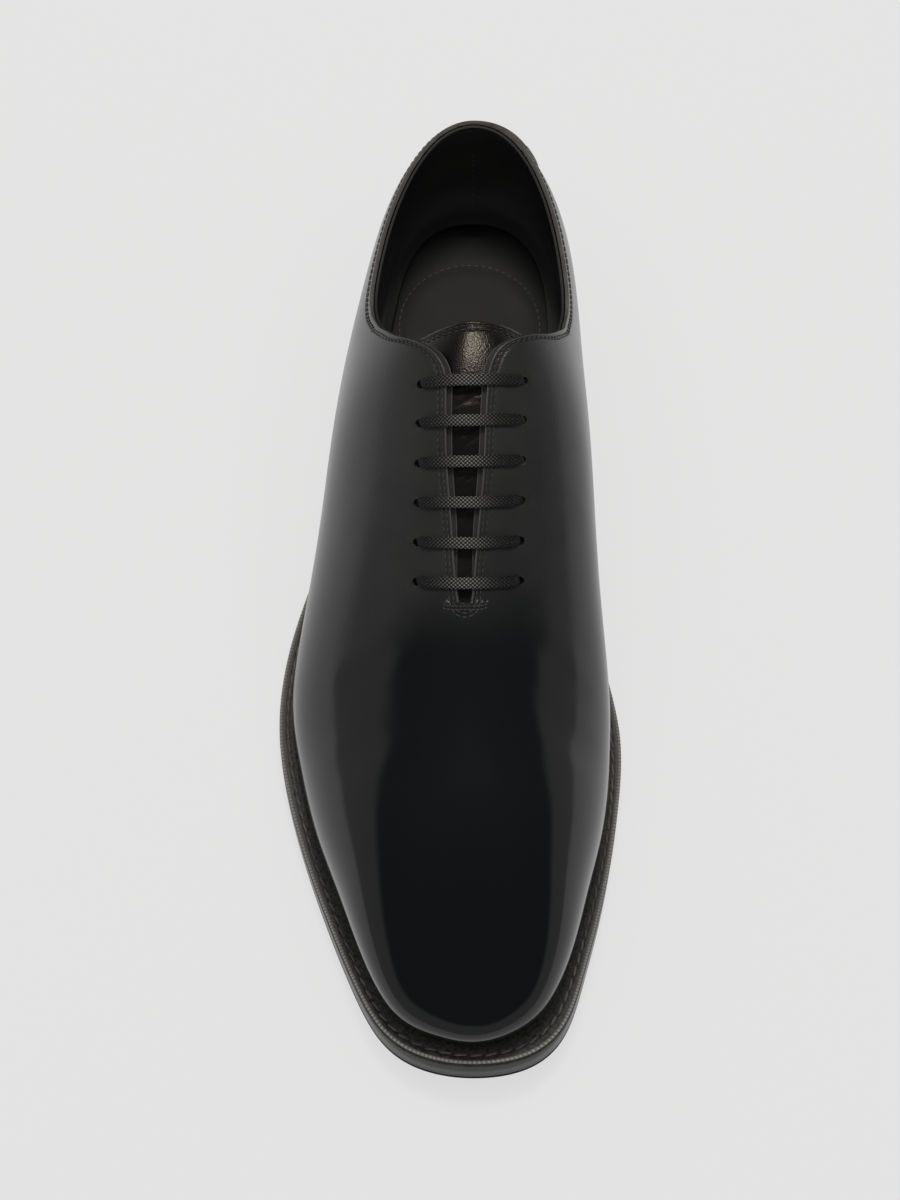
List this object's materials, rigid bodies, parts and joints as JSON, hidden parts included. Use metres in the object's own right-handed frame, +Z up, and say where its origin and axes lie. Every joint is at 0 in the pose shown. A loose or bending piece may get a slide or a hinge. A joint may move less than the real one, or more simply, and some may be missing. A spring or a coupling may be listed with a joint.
{
  "type": "oxford shoe",
  "caption": "Plain whole-cut oxford dress shoe for the right foot: lasted leather upper, laced throat over a tongue, welted leather sole and stacked heel.",
  "frame": {"origin": "on the floor, under the middle of the shoe's length and width", "axes": "+Z up from the floor, -Y towards the toe, +X towards the medial side of the right foot"},
  "size_m": [0.1094, 0.3022, 0.1095],
  "materials": {
    "upper": "polished",
    "tongue": "satin",
    "insole": "satin",
    "welt": "satin",
    "outsole": "satin",
    "heel_stack": "satin",
    "heel_top_piece": "matte",
    "lace": "waxed"
  },
  "bodies": {
    "root": {"upper": "upper", "tongue": "tongue", "insole": "insole", "welt": "welt", "outsole": "outsole", "heel_stack": "heel_stack", "heel_top_piece": "heel_top_piece", "lace_bar_1": "lace", "lace_bar_2": "lace", "lace_bar_3": "lace", "lace_bar_4": "lace", "lace_bar_5": "lace", "lace_bar_6": "lace"}
  },
  "joints": []
}
